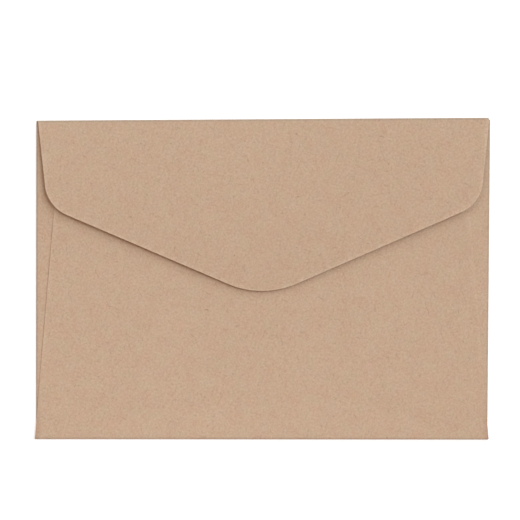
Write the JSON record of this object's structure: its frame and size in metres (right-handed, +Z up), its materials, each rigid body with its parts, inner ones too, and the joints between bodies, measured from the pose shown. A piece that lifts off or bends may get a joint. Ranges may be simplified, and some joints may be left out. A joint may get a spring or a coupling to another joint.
{
  "type": "paper envelope",
  "caption": "Kraft paper envelope, folded from one sheet, with a rounded pointed flap folded down but not stuck.",
  "frame": {"origin": "bottom centre of the whole envelope's box, on the surface that its address side lies on", "axes": "+X along the envelope, to the right when the flap side is seen with the flap at the top; +Y from the bottom fold to the top fold; +Z up through the layers, out of the flap side"},
  "size_m": [0.1628, 0.1152, 0.002],
  "materials": {
    "kraft_paper": "matte"
  },
  "bodies": {
    "root": {"envelope": "kraft_paper"}
  },
  "joints": []
}
